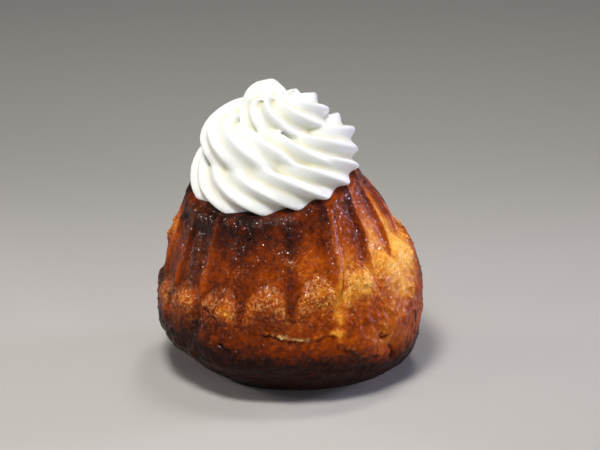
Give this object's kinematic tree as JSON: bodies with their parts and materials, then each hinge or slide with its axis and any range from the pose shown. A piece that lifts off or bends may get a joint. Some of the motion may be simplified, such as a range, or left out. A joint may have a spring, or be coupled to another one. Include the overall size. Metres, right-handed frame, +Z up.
{
  "type": "rum baba",
  "caption": "Fluted rum baba, slumped to one side on its puffed base, with a glazed brown crust and a tall piped rosette of whipped cream on its flat top.",
  "frame": {"origin": "middle of the cake's flat base, on the surface that it rests on", "axes": "+Z up, -Y towards the side that is looked at, +X to its right"},
  "size_m": [0.0743, 0.0745, 0.0844],
  "materials": {
    "baked_crust": "syrup glazed",
    "whipped_cream": "soft satin"
  },
  "bodies": {
    "root": {"baba": "baked_crust", "whipped_cream": "whipped_cream"}
  },
  "joints": []
}
